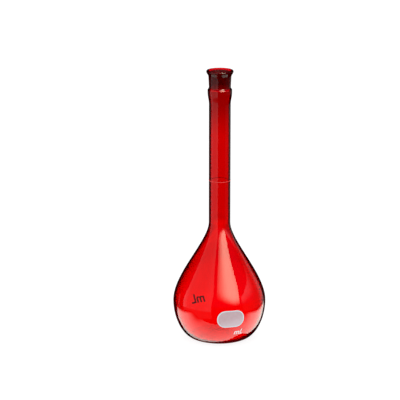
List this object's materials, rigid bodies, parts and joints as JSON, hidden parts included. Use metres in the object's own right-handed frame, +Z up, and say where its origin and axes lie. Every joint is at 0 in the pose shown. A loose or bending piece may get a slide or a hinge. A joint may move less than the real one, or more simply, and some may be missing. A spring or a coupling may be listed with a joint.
{
  "type": "volumetric flask",
  "caption": "Pear-shaped red glass flask with a flat base, a long narrow neck with a ring mark, and an open ground socket for a stopper; holds one exact volume of liquid.",
  "frame": {"origin": "middle of the base, on the surface that the flask stands on", "axes": "+Z up along the axis of the neck, -Y towards the front of the bulb, where the marking spot is"},
  "size_m": [0.0782, 0.0785, 0.2301],
  "materials": {
    "red_glass": "clear, fire polished; the stopper socket is ground matt inside",
    "ring_enamel": "fired enamel line",
    "spot_enamel": "matt fired enamel"
  },
  "bodies": {
    "root": {"bulb": "red_glass", "neck_tube": "red_glass", "ground_joint": "red_glass", "calibration_ring": "ring_enamel", "marking_spot": "spot_enamel"}
  },
  "joints": []
}
